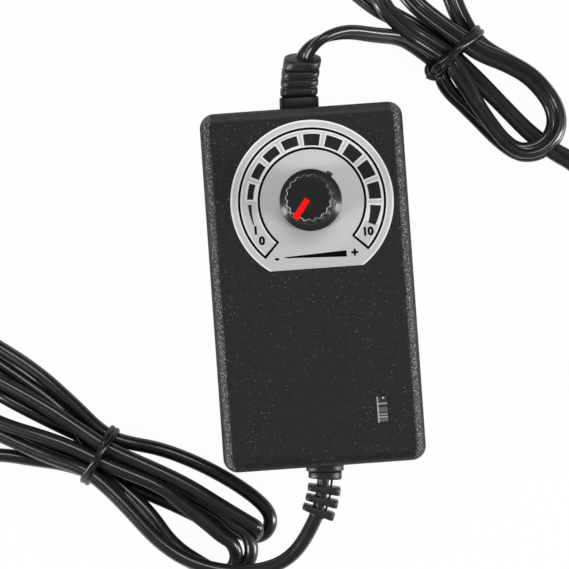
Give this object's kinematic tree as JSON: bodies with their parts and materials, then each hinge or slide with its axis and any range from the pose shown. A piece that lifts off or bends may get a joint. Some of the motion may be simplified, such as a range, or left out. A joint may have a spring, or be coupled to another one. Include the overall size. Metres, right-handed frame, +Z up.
{
  "type": "adjustable power adapter",
  "caption": "Boxed mains adapter with a dial knob on a silver plate, a flat mains cord with its plug at one end and a round low voltage cord with a barrel plug at the other.",
  "frame": {"origin": "middle of the housing's underside, on the surface it rests on", "axes": "+X across the face, +Y along the housing towards the mains cord, +Z up through the knob"},
  "size_m": [0.2374, 0.2106, 0.0472],
  "materials": {
    "housing_plastic": "fine spark texture",
    "plate_metal": "satin, printed in black",
    "knob_plastic": "glossy",
    "pointer_red": "satin",
    "clear_window": "clear, ribbed",
    "cord_pvc": "glossy, smooth",
    "relief_pvc": "satin",
    "tie_coating": "satin",
    "plug_metal": "nickel plated",
    "plug_insulator": "smooth",
    "pot_metal": "plated",
    "phenolic": "pressed board",
    "contact_metal": "tinned",
    "board_laminate": "paper laminate",
    "ferrite": "ground",
    "winding_tape": "tape",
    "copper_wire": "enamelled",
    "black_moulding": "moulded",
    "white_moulding": "moulded",
    "film_yellow": "moulded",
    "ceramic_blue": "dipped",
    "sleeve_dark": "shrunk sleeve",
    "fuse_glass": "clear",
    "sheet_aluminium": "stamped",
    "led_green": "diffused",
    "wire_insulation": "smooth"
  },
  "bodies": {
    "root": {"housing_cover": "housing_plastic", "housing_base": "housing_plastic", "dial_plate": "plate_metal", "indicator_window": "clear_window", "indicator_led": "led_green", "pot_bushing": "pot_metal", "pot_nut": "pot_metal", "pot_washer": "pot_metal", "pot_can": "pot_metal", "pot_track_wafer": "phenolic", "pot_terminals": "contact_metal", "switch_case": "black_moulding", "switch_contacts": "contact_metal", "circuit_board": "board_laminate", "bulk_capacitor": "sleeve_dark", "output_capacitors": "sleeve_dark", "transformer_core": "ferrite", "transformer_bobbin": "black_moulding", "transformer_windings": "winding_tape", "choke_core": "ferrite", "choke_winding": "copper_wire", "x_capacitor": "film_yellow", "y_capacitor": "ceramic_blue", "fuse": "fuse_glass", "fuse_caps": "pot_metal", "bridge_rectifier": "black_moulding", "power_transistor": "black_moulding", "primary_heatsink": "sheet_aluminium", "output_diode": "black_moulding", "secondary_heatsink": "sheet_aluminium", "heatsink_screws": "pot_metal", "optocoupler": "white_moulding", "controller_chip": "black_moulding", "board_resistors": "black_moulding", "pot_wires": "wire_insulation", "ac_inner_wires": "wire_insulation", "dc_inner_wires": "wire_insulation", "ac_strain_relief": "relief_pvc", "ac_cord_lead": "cord_pvc", "ac_cord_hank": "cord_pvc", "ac_cord_tail": "cord_pvc", "ac_tie": "tie_coating", "ac_plug_body": "relief_pvc", "ac_plug_blades": "plug_metal", "dc_strain_relief": "relief_pvc", "dc_cord_lead": "cord_pvc", "dc_cord_hank": "cord_pvc", "dc_cord_tail": "cord_pvc", "dc_tie": "tie_coating", "dc_plug_body": "relief_pvc", "dc_plug_barrel": "plug_metal", "dc_plug_insulator": "plug_insulator"},
    "knob": {"knob_body": "knob_plastic", "knob_pointer": "pointer_red", "pot_shaft": "pot_metal", "pot_rotor": "white_moulding", "pot_wiper": "contact_metal"},
    "switch_arm": {"switch_arm": "contact_metal"}
  },
  "joints": [
    {"name": "knob_turn", "type": "hinge", "parent": "root", "child": "knob", "pos_m": [0.0014, 0.023, 0.034], "axis": [0, 0, -1], "range_deg": [0, 300]},
    {"name": "switch_snap", "type": "hinge", "parent": "root", "child": "switch_arm", "pos_m": [0.0014, 0.0198, 0.0183], "axis": [0, 0, 1], "range_deg": [0, 16]}
  ]
}
